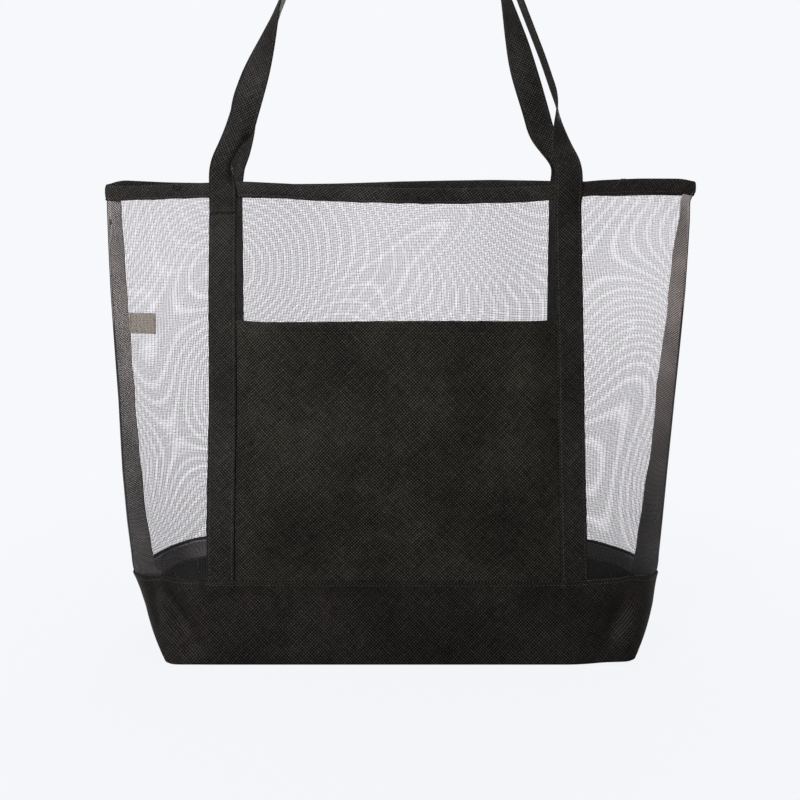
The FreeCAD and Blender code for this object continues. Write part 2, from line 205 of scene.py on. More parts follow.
def ripple(x, z, side):
    """Slow outward and inward waves of the panels, nothing at the seams."""
    phase = 0.0 if side == FRONT else 1.9
    width = section(z)[0]
    inside = 1.0 - np.clip(np.abs(x) / width, 0, 1) ** 4
    up = ease((z - 0.06) / 0.06)
    wave = 1.5 * np.sin(x / 0.052 + 1.1 * np.sin(z / 0.09 + phase) + phase)
    wave += 1.1 * np.sin(z / 0.041 + 1.4 * np.sin(x / 0.11 + phase) + 0.6)
    wave += 0.8 * np.sin((x * 0.8 + z * 1.3) / 0.036 + 2.0 * phase)
    slack = -3.2 * np.sin(np.pi * np.clip((z - BAND_HEIGHT) / (RIM_HEIGHT - BAND_HEIGHT), 0, 1)) ** 2
    base = 0.45 * np.sin(x / 0.045 + phase) * ease(z / 0.03) * (1 - up)
    return ((wave + slack) * up * inside + base * inside) * MM


def warp(points, side):
    """Moves points of the bag's surface, and of what is sewn to it, the way the cloth hangs."""
    points = np.array(points, float)
    x, z = points[..., 0].copy(), points[..., 2].copy()
    width = section(z)[0]
    share = np.clip(np.abs(x) / width, 0.0, 1.1)
    lean = np.where(x < 0, np.interp(z, LEAN_Z, LEAN_LEFT), np.interp(z, LEAN_Z, LEAN_RIGHT))
    points[..., 0] += lean * share**3
    out = ripple(x, z, side) - crease_depth(x, z, side) * ease((1.02 - share) / 0.1)
    points[..., 1] += side * out
    points[..., 2] += through(x, WAVE_X, WAVES[side]) * ease((z - 0.30) / 0.125)
    lift = 2.6 * MM * ease((x - 0.150) / 0.055) * ease((0.05 - z) / 0.05)
    if side == BACK:
        lift = lift + 4.2 * MM * bump(x, -0.212, 0.034) * bump(z, 0.070, 0.020)
    points[..., 2] += lift
    return points


def on_bag(x, height, offset, side):
    """A point at x on the bag's surface moved out by offset, after warp()."""
    x, height, offset = np.broadcast_arrays(np.asarray(x, float), height, offset)
    points = np.stack([x, side * depth_at(x, height, offset), height], axis=-1)
    return warp(points, side)


def band_edge(x):
    share = np.clip(np.abs(x) / BAND_HALF_WIDTH, 0.0, 1.1)
    return BAND_HEIGHT - BAND_SIDE_DROP * share**SEAM_DROP_POWER


# ---------------------------------------------------------------- mesh building
def add_mesh(name, points, faces, uvs, material, flat_from=None):
    """A mesh object with one uv pair in millimetres per vertex; faces from flat_from on are shaded flat."""
    data = bpy.data.meshes.new(name)
    data.from_pydata([tuple(p) for p in points], [], faces)
    layer = data.uv_layers.new(name="cloth_mm")
    index = np.zeros(len(data.loops), np.int32)
    data.loops.foreach_get("vertex_index", index)
    layer.data.foreach_set("uv", np.asarray(uvs, np.float32)[index].ravel())
    soft = np.ones(len(data.polygons), bool)
    soft[len(faces) if flat_from is None else flat_from :] = False
    data.polygons.foreach_set("use_smooth", soft)
    data.materials.append(material)
    data.validate()
    piece = bpy.data.objects.new(name, data)
    bpy.context.scene.collection.objects.link(piece)
    return piece


def grid_faces(rows, columns, start=0, wrap=False, flip=False):
    count = columns if wrap else columns - 1
    r, c = np.meshgrid(np.arange(rows - 1), np.arange(count), indexing="ij")
    nxt = (c + 1) % columns
    a, b = start + r * columns + c, start + r * columns + nxt
    d, e = start + (r + 1) * columns + c, start + (r + 1) * columns + nxt
    quads = np.stack([a, b, e, d], axis=-1).reshape(-1, 4)
    if flip:
        quads = quads[:, ::-1]
    return [tuple(int(i) for i in q) for q in quads]


def thin_sheet(name, outer, inner, uv, material, flip=False):
    """A closed sheet between two grids of points that share their layout."""
    rows, columns = outer.shape[:2]
    count = rows * columns
    points = np.concatenate([outer.reshape(-1, 3), inner.reshape(-1, 3)])
    faces = grid_faces(rows, columns, 0, flip=flip) + grid_faces(rows, columns, count, flip=not flip)
    first_edge = len(faces)
    index = np.arange(count).reshape(rows, columns)
    edge = list(index[0, :-1]) + list(index[:-1, -1]) + list(index[-1, :0:-1]) + list(index[:0:-1, 0])
    for first, second in zip(edge, edge[1:] + edge[:1]):
        side = (int(second), int(first), int(first) + count, int(second) + count)
        faces.append(side[::-1] if flip else side)
    uvs = np.concatenate([uv.reshape(-1, 2), uv.reshape(-1, 2)])
    return add_mesh(name, points, faces, uvs, material, flat_from=first_edge)


def tube_faces(rows, columns, start=0):
    """Faces round a tube of rings, with a cap on each end."""
    last = start + (rows - 1) * columns
    caps = [tuple(range(start + columns - 1, start - 1, -1)), tuple(range(last, last + columns))]
    return grid_faces(rows, columns, start, wrap=True) + caps


def sweep(name, rings, lengths, across, material):
    """A tube through rings of points, each ring closed; across holds the cloth's run round a ring."""
    rows, columns = rings.shape[:2]
    faces = tube_faces(rows, columns)
    u = np.broadcast_to(across, (rows, columns))
    v = np.broadcast_to(np.asarray(lengths)[:, None], (rows, columns))
    uvs = np.stack([u, v], axis=-1).reshape(-1, 2) / MM
    return add_mesh(name, rings.reshape(-1, 3), faces, uvs, material, flat_from=len(faces) - 2)


def add_parts(name, parts, material):
    """One mesh of many parts, each (points, faces, uvs) with its faces counted from its own first point."""
    points, faces, uvs, start = [], [], [], 0
    for part_points, part_faces, part_uvs in parts:
        points.append(part_points)
        faces += [tuple(i + start for i in face) for face in part_faces]
        uvs.append(part_uvs)
        start += len(part_points)
    return add_mesh(name, np.concatenate(points), faces, np.concatenate(uvs), material)


def run_of(points):
    """Distance along a line of points."""
    return np.concatenate([[0.0], np.cumsum(np.linalg.norm(np.diff(points, axis=0), axis=1))])


def along_run(run, values, places):
    """Values given along a run, read at other places of it."""
    return np.stack([np.interp(places, run, values[:, k]) for k in range(3)], axis=1)


def outward(points, raised):
    """Unit directions from points to the same points moved out."""
    normals = raised - points
    return normals / np.linalg.norm(normals, axis=-1, keepdims=True)


def dress(piece, node=None):
    """A piece sewn to the bag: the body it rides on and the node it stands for."""
    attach(piece, "bag")
    if node:
        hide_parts(node)
    return piece


def fix_normals(piece, merge=0.0):
    mesh = bmesh.new()
    mesh.from_mesh(piece.data)
    if merge:
        bmesh.ops.remove_doubles(mesh, verts=mesh.verts, dist=merge)
        bmesh.ops.dissolve_degenerate(mesh, edges=mesh.edges, dist=merge / 4)
    bmesh.ops.recalc_face_normals(mesh, faces=mesh.faces)
    mesh.to_mesh(piece.data)
    mesh.free()
    return piece


# One stitch: a short thread that dips into the cloth at both ends.
STITCH_RINGS = 6
STITCH_SIDES = 6


def stitch_template():
    along = np.linspace(-1.0, 1.0, STITCH_RINGS)
    turns = np.linspace(0.0, 2 * np.pi, STITCH_SIDES, endpoint=False)
    radius = np.sqrt(np.clip(1.0 - (along * 0.93) ** 4, 0.05, 1.0))
    points = []
    for place, wide in zip(along, radius):
        for turn in turns:
            points.append((place, wide * math.cos(turn), wide * math.sin(turn) - 0.9 * place**2))
    return np.array(points), tube_faces(STITCH_RINGS, STITCH_SIDES)


STITCH_POINTS, STITCH_FACES = stitch_template()


def stitch_rows(name, lines, material, pitch=3.2 * MM, length=2.3 * MM, radius=0.27 * MM, seed=0):
    """Rows of stitches: lines is a list of (points, outward normals) along the cloth."""
    draw = np.random.default_rng(SEED + seed)
    parts = []
    for points, normals in lines:
        run = run_of(points)
        count = max(int((run[-1] - pitch) / pitch), 1)
        places = (np.arange(count) + 0.5) * run[-1] / count
        places = places + draw.normal(0, 0.06 * pitch, count)
        centre, normal = along_run(run, points, places), along_run(run, normals, places)
        tangent = along_run(run, points, places + 0.4 * MM) - along_run(run, points, places - 0.4 * MM)
        tangent /= np.linalg.norm(tangent, axis=1, keepdims=True) + 1e-12
        normal -= (normal * tangent).sum(1, keepdims=True) * tangent
        normal /= np.linalg.norm(normal, axis=1, keepdims=True) + 1e-12
        sideways = np.cross(normal, tangent)
        tilt = draw.normal(0, 0.07, (count, 1))
        tangent, sideways = tangent + sideways * tilt, sideways - tangent * tilt
        size = radius * (1.0 + draw.normal(0, 0.06, (count, 1, 1)))
        local = STITCH_POINTS[None]
        placed = (
            centre[:, None]
            + tangent[:, None] * local[..., :1] * (length / 2)
            + sideways[:, None] * local[..., 1:2] * size
            + normal[:, None] * (local[..., 2:3] + 0.35) * size
        )
        for number in range(count):
            along = STITCH_POINTS[:, 0] * length / 2 / MM + number * pitch / MM
            parts.append((placed[number], STITCH_FACES, np.stack([along, STITCH_POINTS[:, 1]], axis=1)))
    return add_parts(name, parts, material)


def thread_tubes(name, lines, radius, sides, material):
    """Loose threads: a round tube along each line of points, a little thinner at its ends."""
    turns = np.linspace(0, 2 * np.pi, sides, endpoint=False)[None, :, None]
    parts = []
    for points in lines:
        tangent = np.gradient(points, axis=0)
        tangent /= np.linalg.norm(tangent, axis=1, keepdims=True)
        guide = np.array([1.0, 0.0, 0.0]) if abs(tangent[0, 0]) < 0.7 else np.array([0.0, 0.0, 1.0])
        first = np.cross(tangent, guide)
        first /= np.linalg.norm(first, axis=1, keepdims=True)
        second = np.cross(tangent, first)
        taper = np.ones(len(points))
        taper[0] = taper[-1] = 0.6
        round_it = np.cos(turns) * first[:, None] + np.sin(turns) * second[:, None]
        rings = points[:, None] + radius * taper[:, None, None] * round_it
        u, v = np.broadcast_arrays(run_of(points)[:, None] / MM, np.arange(sides)[None, :] * 0.3)
        uvs = np.stack([u, v], -1).reshape(-1, 2)
        parts.append((rings.reshape(-1, 3), tube_faces(len(points), sides), uvs))
    return fix_normals(add_parts(name, parts, material))


# ---------------------------------------------------------------- materials
def linear(red, green, blue):
    """A colour given as on a screen, 0 to 255, as the shader takes it."""
    shares = [value / 255 for value in (red, green, blue)]
    return tuple(c / 12.92 if c <= 0.04045 else ((c + 0.055) / 1.055) ** 2.4 for c in shares) + (1.0,)


class Nodes:
    """Short calls to build a node tree."""

    def __init__(self, owner):
        owner.use_nodes = True
        self.owner = owner
        self.tree = owner.node_tree
        self.tree.nodes.clear()

    def node(self, kind, inputs=None, **settings):
        made = self.tree.nodes.new(kind)
        for key, value in settings.items():
            setattr(made, key, value)
        for key, value in (inputs or {}).items():
            self.feed(made.inputs[key], value)
        return made

    def feed(self, socket, value):
        if isinstance(value, bpy.types.NodeSocket):
            self.tree.links.new(value, socket)
        else:
            socket.default_value = value

    def math(self, operation, *values, clamp=False):
        inputs = dict(enumerate(values))
        return self.node("ShaderNodeMath", inputs, operation=operation, use_clamp=clamp).outputs[0]

    def mad(self, value, factor, added, clamp=False):
        return self.math("MULTIPLY_ADD", value, factor, added, clamp=clamp)

    def times(self, first, second):
        return self.math("MULTIPLY", first, second)

    def vector(self, x, y):
        return self.node("ShaderNodeCombineXYZ", {0: x, 1: y}).outputs[0]

    def split(self, vector):
        made = self.node("ShaderNodeSeparateXYZ", {0: vector})
        return made.outputs[0], made.outputs[1]

    def scaled(self, vector, scale, turn=0.0, shift=(0.0, 0.0, 0.0)):
        values = {0: vector, "Location": shift, "Rotation": (0.0, 0.0, turn), "Scale": scale}
        return self.node("ShaderNodeMapping", values).outputs[0]

    def noise(self, vector, scale, detail=2.0, roughness=0.5):
        values = {"Vector": vector, "Scale": scale, "Detail": detail, "Roughness": roughness}
        return self.node("ShaderNodeTexNoise", values).outputs["Fac"]

    def ramp(self, value, low, high, low_out=0.0, high_out=1.0):
        values = {0: value, 1: low, 2: high, 3: low_out, 4: high_out}
        return self.node("ShaderNodeMapRange", values, clamp=True).outputs[0]

    def blend(self, share, first, second):
        values = {"Factor": share, 6: first, 7: second}
        return self.node("ShaderNodeMix", values, data_type="RGBA").outputs[2]

    def mix_shader(self, share, first, second):
        return self.node("ShaderNodeMixShader", {0: share, 1: first, 2: second}).outputs[0]

    def bump(self, height, strength, distance):
        values = {"Height": height, "Strength": strength, "Distance": distance}
        return self.node("ShaderNodeBump", values).outputs[0]

    def cloth(self, colour, roughness, normal, **constants):
        """The shader of a cloth or thread; constants go straight on its sockets."""
        values = {"Base Color": colour, "Roughness": roughness, "Normal": normal}
        values.update({key.replace("_", " "): value for key, value in constants.items()})
        return self.node("ShaderNodeBsdfPrincipled", values).outputs[0]

    def finish(self, shader, kind="ShaderNodeOutputMaterial"):
        self.node(kind, {"Surface": shader})
        return self.owner


def cloth_nodes(name):
    """A new material's nodes, and the cloth's own millimetres."""
    n = Nodes(bpy.data.materials.new(name))
    return n, n.node("ShaderNodeUVMap", uv_map="cloth_mm").outputs["UV"]


def fabric(name, dark, light, weave_turn, pitch=2.1):
    """Black woven polyester: a plain weave, uneven yarns, small painted glints and slow changes of tone."""
    n, uv = cloth_nodes(name)
    wobble = n.noise(n.scaled(uv, (0.05, 0.05, 1.0)), 3.0)
    shift = n.vector(n.times(wobble, 1.2), n.times(wobble, 0.9))
    moved = n.node("ShaderNodeVectorMath", {0: uv, 1: shift}, operation="ADD").outputs[0]
    cloth = n.scaled(moved, (1.0, 1.0, 1.0), turn=weave_turn)
    u, v = n.split(n.scaled(cloth, (1 / pitch, 1 / pitch, 1.0)))
    weave = n.times(n.math("SINE", n.times(u, math.pi)), n.math("SINE", n.times(v, math.pi)))
    crossing = n.math("ABSOLUTE", weave)
    yarn_u = n.noise(n.scaled(cloth, (1 / pitch, 0.06, 1.0)), 1.0, 1.0)
    yarn_v = n.noise(n.scaled(cloth, (0.06, 1 / pitch, 1.0)), 1.0, 1.0)
    yarns = n.mad(yarn_u, 0.5, n.times(yarn_v, 0.5))
    grain = n.noise(uv, 0.95, 2.0, 0.6)
    elsewhere = n.scaled(uv, (1.0, 1.0, 1.0), shift=(31.0, 17.0, 0.0))
    # Painted glints: sparse light specks in the colour stand in for glints of light on the yarns.
    painted_glints = n.ramp(n.noise(elsewhere, 0.7, 2.0, 0.6), 0.58, 0.72)
    slow = n.noise(n.scaled(uv, (0.012, 0.012, 1.0)), 1.0, 2.5, 0.5)
    tone = n.mad(crossing, 0.78, n.mad(yarns, 0.85, -0.655))
    tone = n.math("ADD", tone, n.times(painted_glints, 0.55))
    tone = n.math("ADD", tone, n.mad(grain, 0.5, -0.25))
    tone = n.math("ADD", tone, n.mad(slow, 0.7, -0.35), clamp=True)
    colour = n.blend(tone, linear(*dark), linear(*light))
    roughness = n.ramp(n.mad(grain, 0.6, n.times(slow, 0.4)), 0.3, 0.7, 0.5, 0.7)
    normal = n.bump(n.mad(n.mad(weave, 0.5, 0.5), 0.6, n.times(grain, 0.4)), 0.55, 0.00025)
    sheen = {"Sheen_Weight": 0.02, "Sheen_Roughness": 0.45, "Sheen_Tint": (0.9, 0.86, 0.8, 1.0)}
    return n.finish(n.cloth(colour, roughness, normal, Specular_IOR_Level=0.13, **sheen))


NET_PITCH = 1.5
NET_THREAD = 0.142


def net(name):
    """Open mesh: fine black threads both ways, nothing between them but open air that passes a little painted
    light.
    """
    n, uv = cloth_nodes(name)
    u, v = n.split(n.scaled(uv, (1 / NET_PITCH, 1 / NET_PITCH, 1.0)))
    # Pulled wide beside the straps and towards the rim, the mesh has more open air there.
    across, height = n.split(uv)
    sides, upper = n.ramp(n.math("ABSOLUTE", across), 110.0, 215.0), n.ramp(height, 130.0, 330.0, 0.35, 1.0)
    wide = n.mad(n.times(sides, upper), -0.30 * NET_THREAD, NET_THREAD)
    masks = []
    for run, other in ((u, v), (v, u)):
        uneven = n.noise(n.vector(n.times(run, 0.9), n.times(other, 0.05)), 1.0, 1.0)
        place = n.math("ADD", run, n.mad(uneven, 0.16, -0.08))
        away = n.math("ABSOLUTE", n.math("SUBTRACT", n.math("FRACT", place), 0.5))
        masks.append(n.ramp(away, n.times(wide, 0.36), n.times(wide, 0.64), 1.0, 0.0))
    grain = n.noise(uv, 2.2, 1.0)
    colour = n.blend(grain, linear(24, 24, 26), linear(66, 65, 68))
    normal = n.bump(n.math("ADD", masks[0], n.times(masks[1], 0.7)), 0.4, 0.0002)
    threads = n.cloth(colour, n.ramp(grain, 0.3, 0.7, 0.3, 0.5), normal, Specular_IOR_Level=0.4)
    # Painted light: the open air passes a little more light than falls on it, so all seen through the mesh is
    # brightened.
    clear = n.node("ShaderNodeBsdfTransparent", {"Color": (1.078, 1.068, 1.073, 1.0)}).outputs[0]
    return n.finish(n.mix_shader(n.math("MAXIMUM", *masks), clear, threads))


def twill(name, dark, light, pitch, painted_shade_foot=1.0):
    """Seam tape: a diagonal twill; its foot is darkened with painted shade, keeping a share of the colour
    above.
    """
    n, uv = cloth_nodes(name)
    u, v = n.split(uv)
    diagonal = n.math("SINE", n.times(n.math("ADD", u, n.times(v, 1.35)), 2 * math.pi / pitch))
    lines = n.mad(diagonal, 0.5, 0.5)
    grain = n.noise(uv, 1.4, 3.0, 0.7)
    slow = n.noise(n.scaled(uv, (0.03, 0.03, 1.0)), 1.0, 2.0)
    tone = n.mad(lines, 0.8, n.mad(grain, 1.0, -0.5))
    tone = n.math("ADD", tone, n.mad(slow, 0.6, -0.3), clamp=True)
    colour = n.blend(tone, linear(*dark), linear(*light))
    # Painted shade: below 330 mm the colour is mixed towards near black, down to the given share at 110 mm.
    colour = n.blend(n.ramp(v, 110.0, 330.0, painted_shade_foot, 1.0), linear(9, 9, 9), colour)
    roughness = n.ramp(grain, 0.3, 0.7, 0.66, 0.88)
    normal = n.bump(lines, 0.5, 0.0003)
    return n.finish(n.cloth(colour, roughness, normal, Specular_IOR_Level=0.25, Sheen_Weight=0.15))


def yarn(name, dark, light):
    """Sewing thread: two plies twisted, with a low gloss."""
    n, uv = cloth_nodes(name)
    u, v = n.split(uv)
    twist = n.math("SINE", n.times(n.math("ADD", u, n.times(v, 0.4)), 2 * math.pi / 0.7))
    plies = n.mad(twist, 0.5, 0.5)
    grain = n.noise(uv, 1.0, 2.0)
    colour = n.blend(n.mad(plies, 0.5, n.times(grain, 0.5), clamp=True), linear(*dark), linear(*light))
    roughness = n.ramp(grain, 0.3, 0.7, 0.36, 0.55)
    return n.finish(n.cloth(colour, roughness, n.bump(plies, 0.6, 0.0001), Specular_IOR_Level=0.45))


DIAGONAL = math.pi / 4
WRAP_FABRIC = fabric("base_polyester", (2, 2, 2), (78, 72, 68), DIAGONAL)
POCKET_FABRIC = fabric("pocket_polyester", (2, 2, 2), (94, 90, 80), DIAGONAL)
STRAP_FABRIC = fabric("strap_polyester", (4, 4, 3), (94, 90, 87), DIAGONAL)
BINDING_FABRIC = fabric("binding_polyester", (5, 4, 4), (98, 93, 89), 0.6)
NET = net("open_mesh")
# The side tapes are lit and shaded copies of one grey tape: painted shade darkens each foot, the right one
# deeper.
TAPES = {
    -1: twill("left_grey_tape", (30, 28, 27), (212, 205, 201), pitch=3.1, painted_shade_foot=0.42),
    1: twill("right_grey_tape", (38, 35, 33), (236, 226, 220), pitch=3.1, painted_shade_foot=0.1),
}
BAND_TAPE = twill("grey_band_tape", (96, 94, 94), (236, 231, 228), pitch=2.2)
THREAD = yarn("black_thread", (14, 13, 12), (84, 78, 70))
TACK_THREAD = yarn("thick_black_thread", (6, 6, 6), (34, 32, 30))
LABEL = twill("label_satin", (160, 152, 140), (220, 210, 197), pitch=0.5)
PALE_THREAD = yarn("pale_thread", (120, 118, 116), (205, 202, 198))
LABEL_THREAD = yarn("label_thread", (40, 38, 36), (86, 82, 76))


# ---------------------------------------------------------------- mesh panels
MESH_LIFT = 0.45 * MM
BACK_NET_SCALE = 1.05


def crowded(share, columns):
    """Places from -1 to 1, a share of them drawn towards the ends."""
    even = np.linspace(-1, 1, columns)
    return np.sin(0.5 * np.pi * even) * share + even * (1 - share)


def mesh_panel(side, name, node):
    rows, columns = 120, 200
    share_up = np.linspace(0.0, 1.0, rows)[:, None]
    places = np.broadcast_to(crowded(0.25, columns)[None, :], (rows, columns))
    rough_share = even_place(places, BAND_HEIGHT)[0]
    low = band_edge(rough_share * BAND_HALF_WIDTH) - 5 * MM
    height = low + (RIM_HEIGHT - 1.5 * MM - low) * share_up
    share, run = even_place(places, height)
    width = section(height)[0]
    outer, inner = (
        on_bag(share * (width + offset), height, offset, side)
        for offset in (MESH_LIFT + MESH / 2, MESH_LIFT - MESH / 2)
    )
    u, v = run / MM, height / MM
    phase = 0.7 if side == FRONT else 3.1
    if side == BACK:
        u, v = u * BACK_NET_SCALE, v * BACK_NET_SCALE
    # The threads wander, which bends the ripples that the two layers make together.
    slow_u, quick_u = np.sin(v / 47 + phase + 0.9 * np.sin(u / 61)), np.sin((u + v) / 37 + 2 * phase)
    u = u + 4.2 * slow_u + 2.0 * quick_u
    slow_v, quick_v = np.sin(u / 66 + 1.7 * phase + 0.8 * np.sin(v / 43)), np.sin((u - 1.4 * v) / 45 + phase)
    v = v + 4.0 * slow_v + 1.8 * quick_v
    # The last strip next to each side seam is a closed selvage: all of it lies on one thread.
    u[:, :2] = (np.round(u[0, 0] / NET_PITCH - 0.5) + 0.5) * NET_PITCH
    u[:, -2:] = (np.round(u[0, -1] / NET_PITCH - 0.5) + 0.5) * NET_PITCH
    uv = np.stack([u, v], axis=-1)
    piece = dress(fix_normals(thin_sheet(name, outer, inner, uv, NET, flip=side == BACK)), node)


mesh_panel(FRONT, "front_mesh_sheet", "front_mesh_panel")
mesh_panel(BACK, "back_mesh_sheet", "back_mesh_panel")


# ---------------------------------------------------------------- base wrap
def strap_centre(side, hand, height):
    """Middle of a sewn strap: the two panels' straps don't stand quite square."""
    share = np.clip((height - BAND_HEIGHT) / (TACK_HEIGHT - BAND_HEIGHT), 0.0, 1.0)
    low, high = STRAP_DRIFT[(side, hand)]
    return hand * STRAP_CENTRE + low + (high - low) * share


STRAP_DRIFT = {
    (FRONT, -1): (0.0 * MM, -1.8 * MM),
    (FRONT, 1): (-2.0 * MM, -6.4 * MM),
    (BACK, -1): (-9.5 * MM, -5.5 * MM),
    (BACK, 1): (1.5 * MM, -2.5 * MM),
}


POCKET_TURN_IN = 5 * MM
LEDGE = 4 * MM
EDGE_FALL = 16 * MM
FLOOR_ROLL = 0.9 * MM
FLOOR_THICK = 1.2 * MM
FLOOR_RIDGE_HALF = 0.17
BACK_UV_START = 1300
FLOOR_UV_DROP = 200


def over_pocket(x):
    """1 over the pocket, 0 beside it."""
    return ease((POCKET_HALF + POCKET_TURN_IN - np.abs(x)) / LEDGE)


def beneath(x, height, side):
    """Thickness of what is sewn under the band's top edge at x."""
    total = np.full(np.broadcast(x, height).shape, 0.7 * MM)
    if side == FRONT:
        total = total + 1.1 * MM * over_pocket(x)
    for hand in (-1, 1):
        away = np.abs(x - strap_centre(side, hand, BAND_HEIGHT))
        total = np.maximum(total, 2.5 * MM * ease((STRAP_HALF + 3 * MM - away) / LEDGE))
    return total


def wrap_wall(side, layer, columns, down):
    """The wrap's front or back wall from its top edge to the floor, and its place on the cloth."""
    order = np.linspace(-1, 1, columns) * (1 if side == FRONT else -1)
    place = np.broadcast_to(order[None, :], (len(down), columns))
    top = band_edge(even_place(place, BAND_HEIGHT * 0.9)[0] * BAND_HALF_WIDTH)
    height = top * (1 - down[:, None])
    share, run = even_place(place, height)
    width = section(height)[0]
    under = beneath(share * width, height, side) * ease(1 - (top - height) / EDGE_FALL)
    sink = np.clip(FLOOR_ROLL - height, 0, FLOOR_ROLL)
    rounding = FLOOR_ROLL - np.sqrt(np.clip(FLOOR_ROLL**2 - sink**2, 0, None))
    if layer == "outer":
        hem = 0.35 * MM * ease(1 - np.abs(top - height - 2 * MM) / (3 * MM))
        offset, lowest = FABRIC + under + hem - rounding, 0.0
    else:
        offset, lowest = under - rounding, FLOOR_THICK
    wall = on_bag(share * (width + offset), np.maximum(height, lowest), offset, side)
    u = run / MM if side == FRONT else -run / MM + BACK_UV_START
    return wall[:, :-1], np.stack([u, height / MM], -1)[:, :-1]


def wrap_floor(last, level):
    """Rows from the walls' foot in to a ridge along the floor's middle."""
    middle = last.copy()
    middle[:, 1] = 0.0
    middle[:, 0] = np.clip(last[:, 0], -FLOOR_RIDGE_HALF, FLOOR_RIDGE_HALF)
    rows = []
    for step in np.linspace(0, 1, 16)[1:]:
        row = last * (1 - step) + middle * step
        sag = 0.7 * MM * (1 + np.sin(row[:, 0] / 0.031)) * (1 + np.sin(row[:, 1] / 0.017)) * 0.5
        row[:, 2] = last[:, 2] * (1 - step) ** 2 + level * (1 - (1 - step) ** 2) + sag * ease(step * 3)
        rows.append(row)
    return np.array(rows)


def wrap_sheet():
    down = [np.linspace(0, 0.12, 10)[:-1], np.linspace(0.12, 0.9, 26)[:-1], np.linspace(0.9, 1.0, 9)]
    down = np.concatenate(down)
    grids = []
    for layer, level in (("outer", 0.0), ("inner", FLOOR_THICK)):
        walls = [wrap_wall(side, layer, 150, down) for side in (FRONT, BACK)]
        ring = np.concatenate([wall for wall, _ in walls], axis=1)
        grids.append(np.concatenate([ring, wrap_floor(ring[-1], level)], axis=0))
    outer, inner = grids
    floor_uv = outer[len(down) :, :, :2] / MM - np.array([0, FLOOR_UV_DROP])
    uv = np.concatenate([np.concatenate([wall_uv for _, wall_uv in walls], axis=1), floor_uv], axis=0)
    rows, columns = uv.shape[:2]
    count = rows * columns
    points = np.concatenate([outer.reshape(-1, 3), inner.reshape(-1, 3)])
    faces = grid_faces(rows, columns, 0, wrap=True) + grid_faces(rows, columns, count, wrap=True, flip=True)
    for column in range(columns):
        nxt = (column + 1) % columns
        faces.append((nxt, column, column + count, nxt + count))
    uvs = np.concatenate([uv.reshape(-1, 2)] * 2)
    return fix_normals(add_mesh("base_wrap_fabric", points, faces, uvs, WRAP_FABRIC), merge=0.03 * MM)


base = dress(wrap_sheet(), "base_wrap")


def surface_line(x, height, offset, side):
    """A line over the bag's surface and the directions out of it."""
    points = on_bag(x, height, offset, side)
    return points, outward(points, on_bag(x, height, np.asarray(offset) + 1 * MM, side))


def band_stitching(side, name):
    x = np.linspace(-243 * MM, 243 * MM, 400)
    drop = 3.0 * MM
    height = band_edge(x) - drop
    offset = FABRIC + beneath(x, height, side) * ease(1 - drop / EDGE_FALL) + 0.12 * MM
    line = surface_line(x, height, offset, side)
    return dress(stitch_rows(name, [line], THREAD, seed=3 + side))


band_rows = [band_stitching(FRONT, "front_band_stitching"), band_stitching(BACK, "back_band_stitching")]


# ---------------------------------------------------------------- pocket
def pocket_offset(x, height):
    across = ease((POCKET_HALF - np.abs(x)) / (31.5 * MM))
    up = ease((height - BAND_HEIGHT) / (90 * MM))
    standing = 0.75 * MM + 9.5 * MM * across * up
    folds = 1.3 * np.sin(x / 0.043 + 1.2 * np.sin(height / 0.07))
    folds += 1.0 * np.sin((x - 0.8 * height) / 0.031 + 0.7)
    folds += 0.8 * np.sin((x * 0.5 + height) / 0.027 + 1.9)
    return standing + folds * MM * across * up * 0.8


HEM_DROP = 10.4 * MM


def pocket_sheet():
    rows, columns = 110, 130
    reach = POCKET_HALF + POCKET_TURN_IN
    up = np.linspace(0, 1, rows)[:, None]
    x = np.broadcast_to(np.linspace(-reach, reach, columns)[None, :], (rows, columns)).copy()
    x += 0.5 * (strap_centre(FRONT, 1, 0.25) - STRAP_CENTRE) * (x + reach) / (2 * reach)
    height = np.linspace(BAND_HEIGHT - 6 * MM, POCKET_TOP, rows)[:, None]
    height = height + 0.8 * MM * np.sin(x / 0.06 + 0.5) * ease((up - 0.5) * 2)
    hem = ease((height - (POCKET_TOP - 11.5 * MM)) / (1.5 * MM)) * 0.5 * MM
    dip = 0.35 * MM * bump(height, POCKET_TOP - HEM_DROP, 1.3 * MM)
    offset = pocket_offset(x, height)
    outer = on_bag(x, height, offset + FABRIC + hem - dip, FRONT)
    inner = on_bag(x, height, offset, FRONT)
    uv = np.stack([x / MM, height / MM], axis=-1)
    return fix_normals(thin_sheet("front_pocket_fabric", outer, inner, uv, POCKET_FABRIC))


pocket = dress(pocket_sheet(), "front_pocket")
hem_x = np.linspace(-146 * MM, 143 * MM, 300)
hem_height = np.full_like(hem_x, POCKET_TOP - HEM_DROP)
hem_line = surface_line(hem_x, hem_height, pocket_offset(hem_x, hem_height) + FABRIC - 0.1 * MM, FRONT)
pocket_rows = dress(stitch_rows("pocket_hem_stitching", [hem_line], THREAD, seed=9))


# ---------------------------------------------------------------- straps and handles
# The strap's section: a folded strip with rounded edges and a shallow channel along each row of stitches.
ROW_INSET = 2.6 * MM


def strap_profile():
    """(across, out) pairs round the strap, seen from its foot, and the run round it."""
    wide = crowded(0.35, 29) * STRAP_HALF
    edge = np.clip((STRAP_HALF - np.abs(wide)) / (1.0 * MM), 0, 1)
    half = STRAP_THICK / 2 * np.sqrt(1 - (1 - edge) ** 2)
    channel = 0.32 * MM * bump(np.abs(wide), STRAP_HALF - ROW_INSET, 0.9 * MM)
    crown = 0.14 * MM * (1 - (wide / STRAP_HALF) ** 2)
    top = np.stack([wide, half - channel + crown], axis=1)
    bottom = np.stack([wide, -(half - channel + crown)], axis=1)[::-1][1:-1]
    ring = np.concatenate([top, bottom])
    return ring, run_of(ring)


